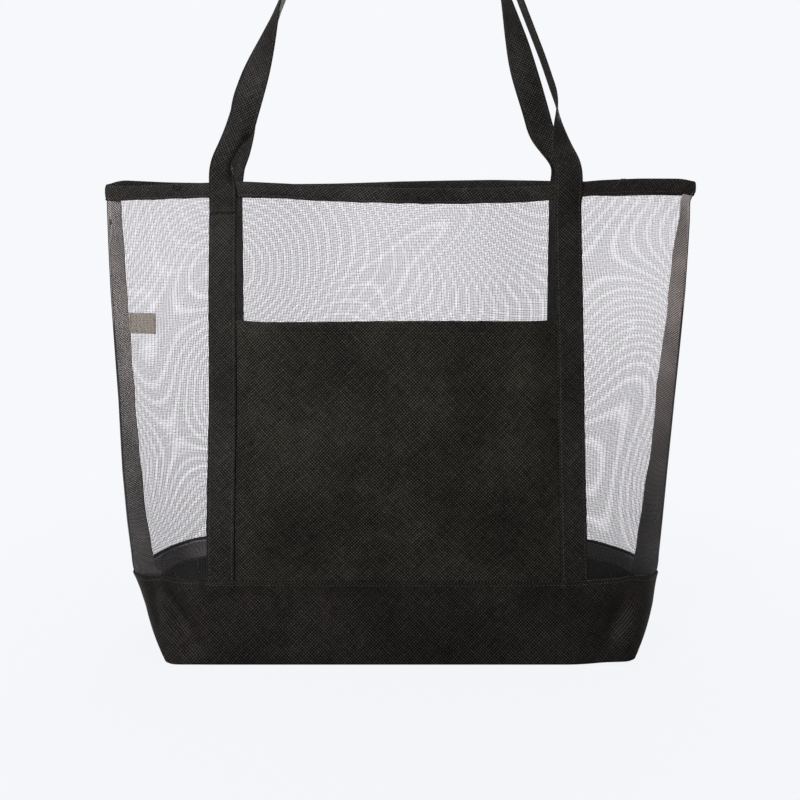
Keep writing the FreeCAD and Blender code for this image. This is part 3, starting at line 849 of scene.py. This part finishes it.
PROFILE, PROFILE_RUN = strap_profile()
ACROSS, OUT = PROFILE[:, 0], PROFILE[:, 1]


def strap_base_offset(x, height, side):
    """How far the sewn strap's middle is from the bag's surface, over the mesh or the pocket's edge."""
    offset = 0.65 * MM + STRAP_THICK / 2
    if side == FRONT:
        offset = offset + 1.25 * MM * (over_pocket(x) * ease((POCKET_TOP + 2 * MM - height) / LEDGE))
    return offset


def sewn_ring_points(side, hand, height, across, out):
    """Points of the sewn strap at a height: across from its middle, out from its own middle layer."""
    x = strap_centre(side, hand, height) + across
    return on_bag(x, height, strap_base_offset(x, height, side) + out, side)


LEG_SLOPE = math.radians(18.7)
LEG_BEND = 60 * MM
LEG_UPRIGHT = 30 * MM
HANDLE_Y_FOOT = 30.6 * MM
HANDLE_Y_TOP = 16 * MM
# Between which shares of its leg each strap makes a quarter turn.
TURNS = {
    (FRONT, -1): (0.26, 0.66),
    (FRONT, 1): (0.05, 0.34),
    (BACK, -1): (0.20, 0.60),
    (BACK, 1): (0.28, 0.70),
}
# How far each leg stands beside its even line at these heights.
SWAY_Z = mm(409, 424, 440, 465, 487, 513, 550, 610, 660, 692)
SWAY = {
    (FRONT, -1): mm(0, 0, 0, 1.5, 3.0, 1.5, 1.0, 0, 0, 0),
    (FRONT, 1): mm(0, 0, -1.5, -4.5, -3.5, 3.0, 3.0, 0, 0, 0),
    (BACK, -1): mm(0, 1.5, 4.0, 0, -5.0, -11.5, -12, -7, -1.5, 0),
    (BACK, 1): mm(0, -0.6, -1.8, -6.8, -10.5, -9.5, -9, -5, -1.5, 0),
}
# How far, in radians, each leg's inner edge curls back, up to a share of the leg.
CURL_END = 0.27
CURL_WIDTH = 12 * MM
CURL = {(FRONT, -1): 1.6, (FRONT, 1): 0.0, (BACK, -1): 0.5, (BACK, 1): 1.1}
# The handle lies along the rim binding between these heights, then stands free.
LEAVES_RIM = 422 * MM
STANDS_FREE = 472 * MM


def leg_numbers():
    rise = HANDLE_TOP - STRAP_THICK / 2 - TACK_HEIGHT - 0.3 * MM
    slope = math.tan(LEG_SLOPE)
    left_rise = rise - LEG_UPRIGHT - LEG_BEND * math.sin(LEG_SLOPE)
    left_reach = STRAP_CENTRE - LEG_BEND * (1 - math.cos(LEG_SLOPE))
    radius = (left_reach - left_rise * slope) / (math.cos(LEG_SLOPE) - (1 - math.sin(LEG_SLOPE)) * slope)
    straight = (left_rise - radius * (1 - math.sin(LEG_SLOPE))) / math.cos(LEG_SLOPE)
    return [LEG_UPRIGHT, LEG_BEND * LEG_SLOPE, straight, radius * (math.pi / 2 - LEG_SLOPE)], radius


LEG_PARTS, TOP_RADIUS = leg_numbers()
LEG_LENGTH = sum(LEG_PARTS)


def leg_line(share):
    run = share * LEG_LENGTH
    up = min(run, LEG_PARTS[0])
    run = max(run - LEG_PARTS[0], 0.0)
    lean = min(run, LEG_PARTS[1]) / LEG_BEND
    inward = LEG_BEND * (1 - math.cos(lean))
    up += LEG_BEND * math.sin(lean)
    run = max(run - LEG_PARTS[1], 0.0)
    inward += min(run, LEG_PARTS[2]) * math.sin(lean)
    up += min(run, LEG_PARTS[2]) * math.cos(lean)
    turned = lean + max(run - LEG_PARTS[2], 0.0) / TOP_RADIUS
    inward += TOP_RADIUS * (math.cos(lean) - math.cos(turned))
    up += TOP_RADIUS * (math.sin(turned) - math.sin(lean))
    return inward, up, turned


def leg_frame(side, hand, share):
    """Centre, width direction and outward direction of the loop's strap at a share of its leg."""
    inward, up, lean = leg_line(share)
    drift = (HANDLE_Y_TOP - HANDLE_Y_FOOT) * float(ease(share))
    sway = float(through(TACK_HEIGHT + up, SWAY_Z, SWAY[(side, hand)], soften=9 * MM))
    foot_shift = STRAP_DRIFT[(side, hand)][1] * float(ease(1 - share / 0.30))
    x = hand * (STRAP_CENTRE - inward) + sway + foot_shift
    centre = np.array([x, side * (HANDLE_Y_FOOT + drift), TACK_HEIGHT + up])
    flat = np.array([math.cos(lean), 0.0, hand * math.sin(lean)])
    start, end = TURNS[(side, hand)]
    quarter = 0.5 * math.pi * float(ease((share - start) / (end - start)))
    width = flat * (-hand * math.cos(quarter)) + np.array([0.0, side * math.sin(quarter), 0.0])
    tangent = np.array([math.sin(lean), 0.0, -hand * math.cos(lean)])
    return centre, width, np.cross(tangent, width)


def loop_ring_points(side, hand, share, across, out):
    """Points of the loop's strap: across is along +x at the foot, out is away from the bag."""
    centre, width, normal = leg_frame(side, hand, share)
    foot_normal = leg_frame(side, hand, 0.0)[2]
    sign_out = 1.0 if side * foot_normal[1] > 0 else -1.0
    curl = CURL[(side, hand)] * math.sin(math.pi * min(max(share / CURL_END, 0.0), 1.0)) ** 2
    inward = -hand * across
    bend = 0.9 * curl * ease((inward - 1 * MM) / CURL_WIDTH)
    curled = np.clip(inward - 1 * MM, 0, None)
    local_across = inward + curled * (np.cos(bend) - 1)
    local_out = (out - curled * np.sin(bend)) * sign_out
    return centre + np.outer(local_across, width) + np.outer(local_out, normal)


def strap_ring(side, hand, run, across, out):
    """Points of the whole strap at a run up its leg: sewn below the row of stitches, free above it."""
    height = TACK_HEIGHT + run
    if run <= 0.0:
        return sewn_ring_points(side, hand, height, across, out)
    free = loop_ring_points(side, hand, run / LEG_LENGTH, across, out)
    if height >= RIM_HEIGHT + 40 * MM:
        return free
    x = strap_centre(side, hand, TACK_HEIGHT) + across
    over_rim = 1.9 * MM * float(ease((height - 0.414) / 0.012))
    held = on_bag(x, min(height, RIM_HEIGHT), strap_base_offset(x, height, side) + out + over_rim, side)
    held[:, 2] += max(height - RIM_HEIGHT, 0.0)
    share_free = float(ease((height - LEAVES_RIM) / (STANDS_FREE - LEAVES_RIM)))
    return held * (1 - share_free) + free * share_free


def strap_stitch_lines(side, hand, runs, faces=(1, -1)):
    level = STRAP_THICK / 2 - 0.17 * MM
    lines = []
    for face in faces:
        for edge in (-1, 1):
            across = np.array([edge * (STRAP_HALF - ROW_INSET)])
            points, raised = (
                np.array([strap_ring(side, hand, run, across, np.array([face * out]))[0] for run in runs])
                for out in (level, level + 1 * MM)
            )
            lines.append((points, outward(points, raised)))
    return lines


SIDE_NAMES = {FRONT: "front", BACK: "back"}
HAND_NAMES = {-1: "left", 1: "right"}
STRAPS = [(side, hand) for side in (FRONT, BACK) for hand in (-1, 1)]


def sewn_strap(side, hand):
    label = f"{SIDE_NAMES[side]}_{HAND_NAMES[hand]}"
    runs = np.linspace(BAND_HEIGHT - 7 * MM - TACK_HEIGHT, 0.0, 110)
    rings = np.array([strap_ring(side, hand, run, ACROSS, OUT) for run in runs])
    piece = fix_normals(sweep(f"{label}_strap_fabric", rings, runs - runs[0], PROFILE_RUN, STRAP_FABRIC))
    dress(piece, f"{label}_strap")
    lines = strap_stitch_lines(side, hand, np.linspace(runs[0] + 8 * MM, -1 * MM, 200), faces=(1,))
    rows = stitch_rows(f"{label}_strap_stitching", lines, THREAD, seed=20 + 2 * side + hand)
    dress(rows)


for side, hand in STRAPS:
    sewn_strap(side, hand)


def handle(side):
    name = SIDE_NAMES[side]
    runs = np.linspace(0.0, LEG_LENGTH, 150)
    # Going down the far leg the strap's own across direction is the other way round.
    legs = [(-1, run) for run in runs] + [(1, run) for run in runs[::-1][1:]]
    rings = np.array([strap_ring(side, hand, run, -hand * ACROSS, OUT) for hand, run in legs])
    lengths = run_of(rings.mean(axis=1))
    piece = fix_normals(sweep(f"{name}_handle_strap", rings, lengths, PROFILE_RUN, STRAP_FABRIC))
    stitched = np.linspace(1 * MM, LEG_LENGTH - 0.8 * MM, 260)
    lines = strap_stitch_lines(side, -1, stitched) + strap_stitch_lines(side, 1, stitched)
    rows = stitch_rows(f"{name}_handle_stitching", lines, THREAD, seed=40 + side)
    for item in (piece, rows):
        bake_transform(item)
    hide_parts(f"{name}_handle")


handle(FRONT)
handle(BACK)


def tack_rows():
    """Rows of stitches across the straps, at the tack height."""
    across = np.linspace(-11.0, 11.0, 30) * MM
    level = np.full(30, STRAP_THICK / 2 + 0.05 * MM)
    lines = []
    for side, hand in STRAPS:
        points, raised = (
            sewn_ring_points(side, hand, TACK_HEIGHT - 0.1 * MM, across, out)
            for out in (level, level + 1 * MM)
        )
        lines.append((points, outward(points, raised)))
    return stitch_rows("strap_tack_rows", lines, TACK_THREAD, 4.4 * MM, 2.6 * MM, 0.36 * MM, seed=60)


dress(tack_rows(), "strap_tack_stitches")


# ---------------------------------------------------------------- rim binding
def binding_profile():
    """(out, up) round a folded tape over the rim, outer leg first; up is from the rim's cut edge."""
    low = -BINDING_HEIGHT / MM
    outer = [(0.75, low), (1.5, low + 0.3), (1.75, low + 1.2), (1.5, low + 2.2), (1.85, low + 4)]
    outer += [(2.0, low + 7), (1.9, low + 10), (1.75, -1.2), (1.35, 0.3), (0.55, 1.1)]
    inner = [(-0.35, 0.6), (-0.95, -0.8), (-1.15, low + 9), (-1.2, low + 6), (-1.05, low + 3)]
    inner += [(-0.85, low + 2.2), (-1.0, low + 1.2), (-0.7, low + 0.2), (-0.3, low + 0.1)]
    lining = [(-0.1, low + 0.5), (-0.1, -1.6), (0.35, -0.7), (0.85, -1.6), (0.8, low + 0.5)]
    return np.array(outer + inner + lining) * MM


def binding(side):
    name = SIDE_NAMES[side]
    corners = binding_profile()
    halfway = (corners + np.roll(corners, -1, axis=0)) / 2
    profile = np.stack([corners, halfway], axis=1).reshape(-1, 2)
    places = crowded(0.3, 260)
    phases = np.random.default_rng(SEED + side).uniform(0, 2 * np.pi, 4)
    rings = []
    for place in places:
        share, run = even_place(np.array(place), np.array(RIM_HEIGHT - 2 * MM))
        pucker = 0.22 * MM * math.sin(run / 0.0062 + 2 * math.sin(run / 0.031 + phases[0]))
        swell = 1 + 0.12 * math.sin(run / 0.021 + phases[1]) + 0.1 * math.sin(run / 0.008 + phases[2])
        up = RIM_HEIGHT + profile[:, 1] + pucker * (profile[:, 1] < -9 * MM)
        out = np.where(np.abs(profile[:, 0]) > 1.2 * MM, profile[:, 0] * swell, profile[:, 0])
        width = section(np.minimum(up, RIM_HEIGHT))[0]
        rings.append(on_bag(float(share) * (width + out), up, out, side))
    runs = even_place(places, np.full_like(places, RIM_HEIGHT))[1]
    piece = sweep(f"{name}_rim_binding_tape", np.array(rings), runs, run_of(profile), BINDING_FABRIC)
    dress(fix_normals(piece), f"{name}_rim_binding")
    x = np.linspace(-272, 270, 500) * MM
    height = np.full_like(x, RIM_HEIGHT - BINDING_HEIGHT + 2.1 * MM)
    inside, normals = surface_line(x, height, -0.9 * MM, side)
    lines = [surface_line(x, height, 1.55 * MM, side), (inside, -normals)]
    rows = stitch_rows(f"{name}_binding_stitching", lines, THREAD, 2.9 * MM, 2.1 * MM, seed=70 + side)
    dress(rows)


binding(FRONT)
binding(BACK)


def bar_tacks():
    """A thick nub of thread over the front binding's top edge with two loops beside it, twice."""
    steps = np.linspace(-1.0, 1.0, 14)
    turns = np.linspace(0.0, 2 * np.pi, 22)
    lines = []
    for middle in (-209 * MM, 209 * MM):
        for number in range(7):
            x = middle + (number - 3) * 0.75 * MM
            up = RIM_HEIGHT + 1.25 * MM - 3.2 * MM * np.abs(steps) ** 1.8
            lines.append(on_bag(np.full(14, x), up, 0.5 * MM - steps * 1.9 * MM, FRONT))
        for turn, reach in ((-0.9, 3.4 * MM), (0.7, 2.6 * MM)):
            x = middle + 2.2 * MM * turn + 0.8 * reach * np.sin(turns) * turn
            up = RIM_HEIGHT + 0.4 * MM - reach * (1 - np.cos(turns)) * 0.75
            lines.append(on_bag(x, up, 2.6 * MM + 0.5 * MM * np.sin(turns * 0.5), FRONT))
    return thread_tubes("bar_tack_threads", lines, 0.42 * MM, 7, TACK_THREAD)


dress(bar_tacks(), "rim_bar_tacks")


# ---------------------------------------------------------------- seam tapes inside
# The side tapes' inner and outer edges, measured in from the seam, up z.
TAPE_Z = mm(56, 110, 130, 230, 336, 365, 419, 430)
TAPE_IN = {
    -1: mm(21.0, 17.5, 16.5, 16.0, 15.0, 14.5, 12.5, 12.0),
    1: mm(27.0, 22.0, 21.0, 18.0, 15.0, 14.0, 10.0, 9.5),
}
TAPE_OUT = {
    -1: mm(0.4, 0.6, 0.6, 0.4, 0.3, 0.3, 0.3, 0.3),
    1: mm(0.8, 1.2, 1.2, 0.8, 0.4, 0.4, 0.3, 0.3),
}
# The folded tape's half section: share of its width, and half thickness in millimetres.
TAPE_HALF_SECTION = [(0, 0.5), (0.04, 0.8), (0.12, 0.62), (0.3, 0.8)]
TAPE_HALF_SECTION += [(0.7, 0.8), (0.86, 0.6), (0.95, 0.8), (1, 0.4)]


def side_tape(hand):
    label = HAND_NAMES[hand]
    heights = np.linspace(BAND_HEIGHT - BAND_SIDE_DROP - 4 * MM, RIM_HEIGHT - BINDING_HEIGHT + 3 * MM, 130)
    profile = np.array(TAPE_HALF_SECTION)
    ring = np.concatenate([profile, profile[::-1] * np.array([1, -1])])
    rings = []
    for height in heights:
        near = float(np.interp(height, TAPE_Z, TAPE_OUT[hand]))
        far = float(np.interp(height, TAPE_Z, TAPE_IN[hand]))
        wave = 0.5 * MM * math.sin(height / 0.019 + hand) + 0.35 * MM * math.sin(height / 0.0073)
        x = hand * (float(section(height)[0]) - (near + (far + wave - near) * ring[:, 0]))
        sway = (2.2 * math.sin(height / 0.043 + hand) + 1.0 * math.sin(height / 0.017)) * MM * ring[:, 0] ** 2
        rings.append(warp(np.stack([x, ring[:, 1] * MM + sway, np.full(len(ring), height)], axis=1), FRONT))
    piece = sweep(f"{label}_side_tape", np.array(rings), heights, ring[:, 0] * 16 * MM, TAPES[hand])
    dress(fix_normals(piece), f"{label}_side_seam_tape")


side_tape(-1)
side_tape(1)

BAND_TAPE_DROP = 3.4 * MM
BAND_TAPE_WIDTH = 19 * MM
BAND_TAPE_REACH = (245, 251)


def band_tape(side):
    name = SIDE_NAMES[side]
    up = np.linspace(0, 1, 9)[:, None]
    low, high = BAND_TAPE_REACH
    x = np.linspace(-1, 1, 168)[None, :] * (low + (high - low) * up) * MM
    wave = 0.5 * MM * np.sin(x / 0.013) + 0.4 * MM * np.sin(x / 0.037)
    height = band_edge(x) - BAND_TAPE_DROP - BAND_TAPE_WIDTH * (1 - up) + wave * (1 - up)
    inner = on_bag(x, height, -0.8 * MM - 0.25 * MM * np.sin(np.pi * up), side)
    outer = on_bag(x, height, -0.15 * MM, side)
    uv = np.stack([x / MM, height / MM], axis=-1)
    piece = fix_normals(thin_sheet(f"{name}_band_tape", outer, inner, uv, BAND_TAPE, flip=side == BACK))
    dress(piece, f"{name}_band_seam_tape")
    line_x = np.linspace(-244, 244, 420) * MM
    lines = []
    for share in (0.12, 0.88):
        line_height = band_edge(line_x) - BAND_TAPE_DROP - BAND_TAPE_WIDTH * (1 - share)
        points, normals = surface_line(line_x, line_height, -0.95 * MM, side)
        lines.append((points, -normals))
    rows = dress(stitch_rows(f"{name}_band_tape_stitching", lines, THREAD, seed=80 + side))


band_tape(FRONT)
band_tape(BACK)

# Ends of sewing thread left hanging inside, from the back band's seam: top and bottom (x, z) of each.
LOOSE_ENDS = [
    ((-0.2115, 0.071), (-0.2095, 0.033)),
    ((-0.1985, 0.052), (-0.1970, 0.041)),
    ((-0.2325, 0.045), (-0.2290, 0.034)),
]


def loose_ends():
    draw = np.random.default_rng(SEED + 100)
    steps = np.linspace(0.0, 1.0, 24)
    lines = []
    for (x_0, z_0), (x_1, z_1) in LOOSE_ENDS:
        curl = 0.9 * MM * np.sin(steps * 11.0 + draw.uniform(0, 6)) * steps
        x, z = x_0 + (x_1 - x_0) * steps + curl, z_0 + (z_1 - z_0) * steps
        lines.append(on_bag(x, z, -1.9 * MM - 0.5 * curl, BACK))
    return thread_tubes("loose_thread_ends", lines, 0.22 * MM, 6, PALE_THREAD)


dress(loose_ends())


def surface_tree(piece):
    mesh = bmesh.new()
    mesh.from_mesh(piece.data)
    tree = BVHTree.FromBMesh(mesh)
    mesh.free()
    return tree


BASE_SURFACE = surface_tree(base)


def corner_tape(hand):
    label = HAND_NAMES[hand]
    rows, columns = 8, 70
    y = np.broadcast_to(np.linspace(-58, 58, columns)[None, :] * MM, (rows, columns))
    far = BASE_HALF_LENGTH - 8 * MM
    across = np.linspace(far - 12 * MM, far, rows)[:, None] + 0.5 * MM * np.sin(y / 0.011)
    x = hand * across
    # The tape lies on the floor's own bumps.
    level = np.zeros_like(x)
    for spot in np.ndindex(rows, columns):
        start = Vector((x[spot], y[spot], 0.03))
        level[spot] = BASE_SURFACE.ray_cast(start, Vector((0, 0, -1)))[0].z + 0.25 * MM
    lower = np.stack([x, y, level], axis=-1)
    upper = lower + np.array([0, 0, 0.8 * MM])
    uv = np.stack([y / MM, across / MM], axis=-1)
    piece = fix_normals(thin_sheet(f"{label}_corner_tape", upper, lower, uv, BAND_TAPE))
    dress(piece, f"{label}_corner_seam_tape")


corner_tape(-1)
corner_tape(1)


# ---------------------------------------------------------------- care label
LABEL_START = -260.6 * MM
LABEL_BOTTOM = 294 * MM
LABEL_LENGTH = 25.7
LABEL_WIDTH = 20


def care_label():
    across, up = np.meshgrid(np.linspace(0, 1, 24), np.linspace(0, 1, 16))
    x = LABEL_START + LABEL_LENGTH * MM * across
    z = LABEL_BOTTOM + LABEL_WIDTH * MM * up + 0.8 * MM * (0.5 - across)
    y = -1.6 * MM - 1.2 * MM * ease(across) + 0.7 * MM * np.sin(up * 2.6) * across
    fold = 0.12 * MM * (bump(across, 0.0, 0.06) + bump(up, 0.06, 0.05) + bump(up, 0.94, 0.05))
    front = np.stack([x, y - 0.18 * MM - fold, z], axis=-1)
    rear = np.stack([x, y + 0.18 * MM, z], axis=-1)
    uv = np.stack([across * LABEL_LENGTH, up * LABEL_WIDTH], axis=-1)
    piece = fix_normals(thin_sheet("care_label_satin", front, rear, uv, LABEL))
    seam_x, seam_y = LABEL_START + 1.6 * MM, -1.95 * MM
    line = np.linspace((seam_x, seam_y, 0.2955), (seam_x, seam_y, 0.313), 30)
    normals = np.tile((0.0, -1.0, 0.0), (30, 1))
    name = "care_label_stitching"
    rows = stitch_rows(name, [(line, normals)], LABEL_THREAD, 2.4 * MM, 1.7 * MM, 0.2 * MM, seed=90)
    for item in (piece, rows):
        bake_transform(item)
    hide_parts("care_label")


care_label()


# ---------------------------------------------------------------- floor, light and camera
BACKDROP = (0.924, 0.940, 0.964, 1.0)
FLOOR_HALF = 14.0


def camera_sees(n, seen, otherwise):
    """One shader for the camera, another for all other rays."""
    return n.mix_shader(n.node("ShaderNodeLightPath").outputs["Is Camera Ray"], otherwise, seen)


def studio():
    data = bpy.data.meshes.new("studio_floor")
    corners = [(x * FLOOR_HALF, y * FLOOR_HALF, 0) for x, y in ((-1, -1), (1, -1), (1, 1), (-1, 1))]
    data.from_pydata(corners, [], [(0, 1, 2, 3)])
    floor = bpy.data.objects.new("studio_floor", data)
    floor.location.z = -0.0006
    bpy.context.scene.collection.objects.link(floor)
    # The paper's glow is for the eye only: on the bag it acts as plain paper.
    n = Nodes(bpy.data.materials.new("studio_paper"))
    place = n.node("ShaderNodeTexCoord").outputs["Object"]
    distance = n.node("ShaderNodeVectorMath", {0: place}, operation="LENGTH").outputs["Value"]
    fade = {0: distance, 1: 0.25, 2: 0.75, 3: 0.05, 4: 0.0}
    share = n.node("ShaderNodeMapRange", fade, interpolation_type="SMOOTHSTEP").outputs[0]
    glow = n.node("ShaderNodeEmission", {"Color": BACKDROP}).outputs[0]
    paper = n.node("ShaderNodeBsdfDiffuse", {"Color": (0.56, 0.57, 0.59, 1.0)}).outputs[0]
    dull = n.node("ShaderNodeBsdfDiffuse", {"Color": (0.5, 0.5, 0.51, 1.0)}).outputs[0]
    data.materials.append(n.finish(camera_sees(n, n.mix_shader(share, glow, paper), dull)))

    world = bpy.data.worlds.new("studio")
    bpy.context.scene.world = world
    n = Nodes(world)
    seen = n.node("ShaderNodeBackground", {"Color": BACKDROP}).outputs[0]
    lit = n.node("ShaderNodeBackground", {"Color": (1.0, 1.0, 1.0, 1.0), "Strength": 0.19}).outputs[0]
    n.finish(camera_sees(n, seen, lit), "ShaderNodeOutputWorld")


def soft_box(name, place, target, size, power):
    data = bpy.data.lights.new(name, "AREA")
    data.shape = "RECTANGLE"
    data.size, data.size_y = size
    data.energy = power
    light = bpy.data.objects.new(name, data)
    light.location = place
    light.rotation_mode = "QUATERNION"
    light.rotation_quaternion = (Vector(target) - Vector(place)).to_track_quat("-Z", "Y")
    bpy.context.scene.collection.objects.link(light)


studio()
soft_box("key_light", (-0.95, -1.3, 1.2), (0, 0, 0.3), (0.5, 0.5), 22)
soft_box("fill_light", (1.5, -1.2, 0.9), (0, 0, 0.25), (1.2, 1.2), 2)
soft_box("top_light", (0.0, 0.3, 2.0), (0, 0, 0.4), (1.4, 0.9), 18)
soft_box("rear_light", (0.3, 1.8, 1.1), (0, 0, 0.3), (1.4, 1.0), 22)

camera_data = bpy.data.cameras.new("camera")
camera_data.sensor_width = 36.0
camera_data.lens = 42.145
camera_data.shift_y = -0.13
camera = bpy.data.objects.new("camera", camera_data)
camera.location = (0.0, -0.8981, 0.39475)
camera.rotation_euler = (math.radians(90 - 4.12), 0.0, 0.0)
bpy.context.scene.collection.objects.link(camera)
bpy.context.scene.camera = camera
bpy.context.scene.view_settings.view_transform = "Standard"
bpy.context.scene.view_settings.look = "None"
